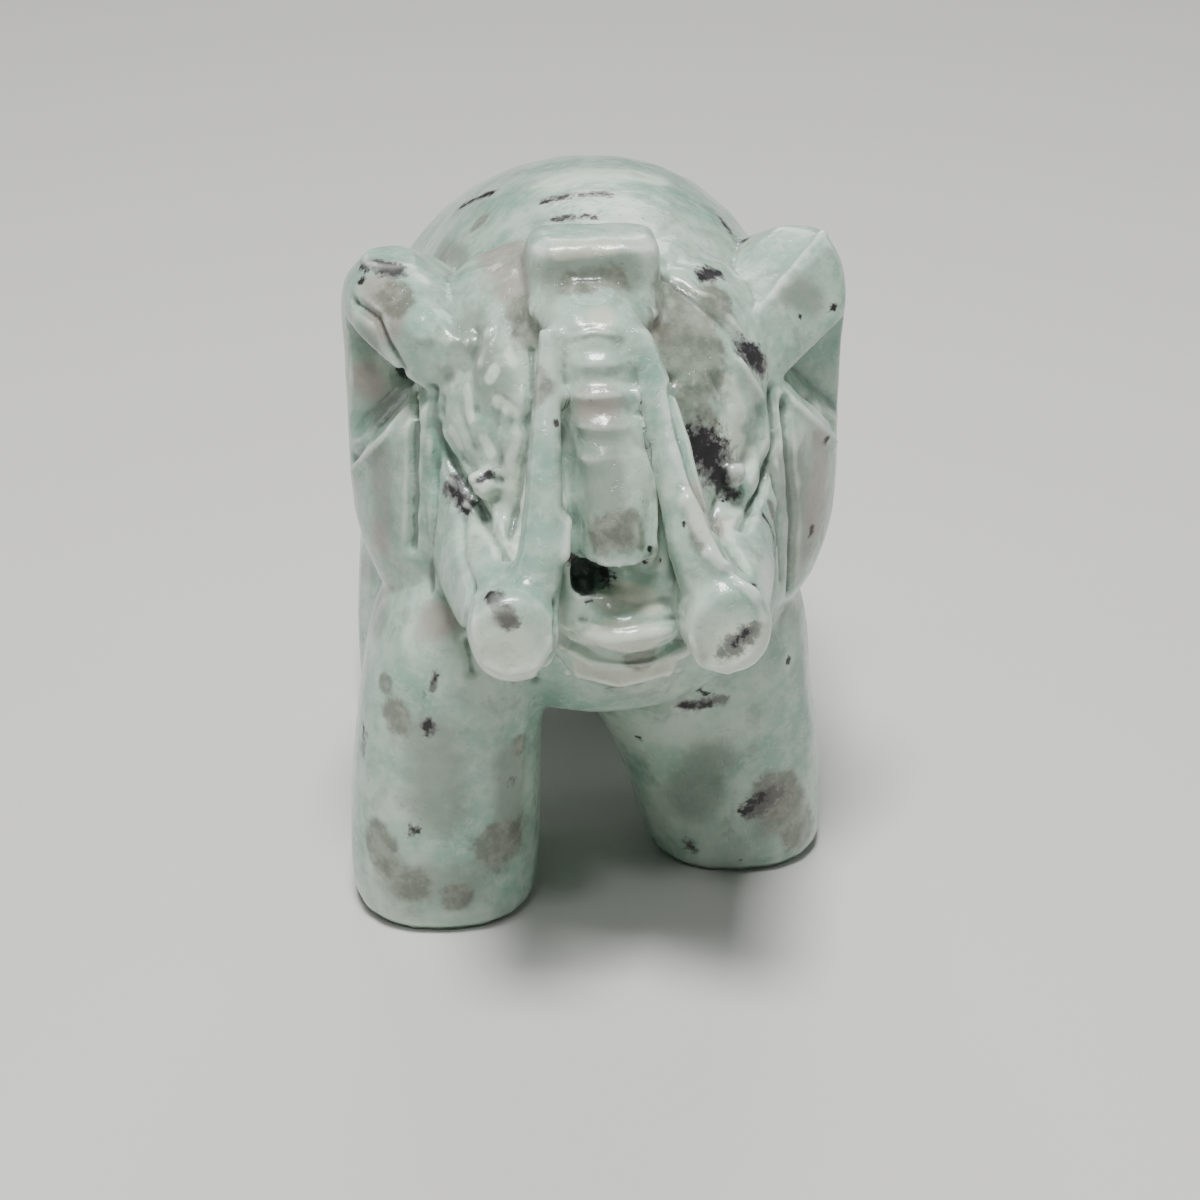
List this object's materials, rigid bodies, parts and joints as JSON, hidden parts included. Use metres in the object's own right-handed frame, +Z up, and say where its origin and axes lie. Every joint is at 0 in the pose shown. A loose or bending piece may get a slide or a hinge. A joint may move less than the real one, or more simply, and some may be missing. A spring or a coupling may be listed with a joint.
{
  "type": "stone elephant carving",
  "caption": "Small polished stone elephant, carved in one piece, standing on four feet with its trunk curled up to the forehead and tusks beside it; a shelf ornament",
  "frame": {"origin": "Bottom centre of the bounding box, on the plane of the four soles", "axes": "+Z up, the elephant faces -Y and its length lies along Y, X runs across it"},
  "size_m": [0.026, 0.0502, 0.0363],
  "materials": {
    "mottled_stone": "gloss"
  },
  "bodies": {
    "root": {"elephant": "mottled_stone"}
  },
  "joints": []
}
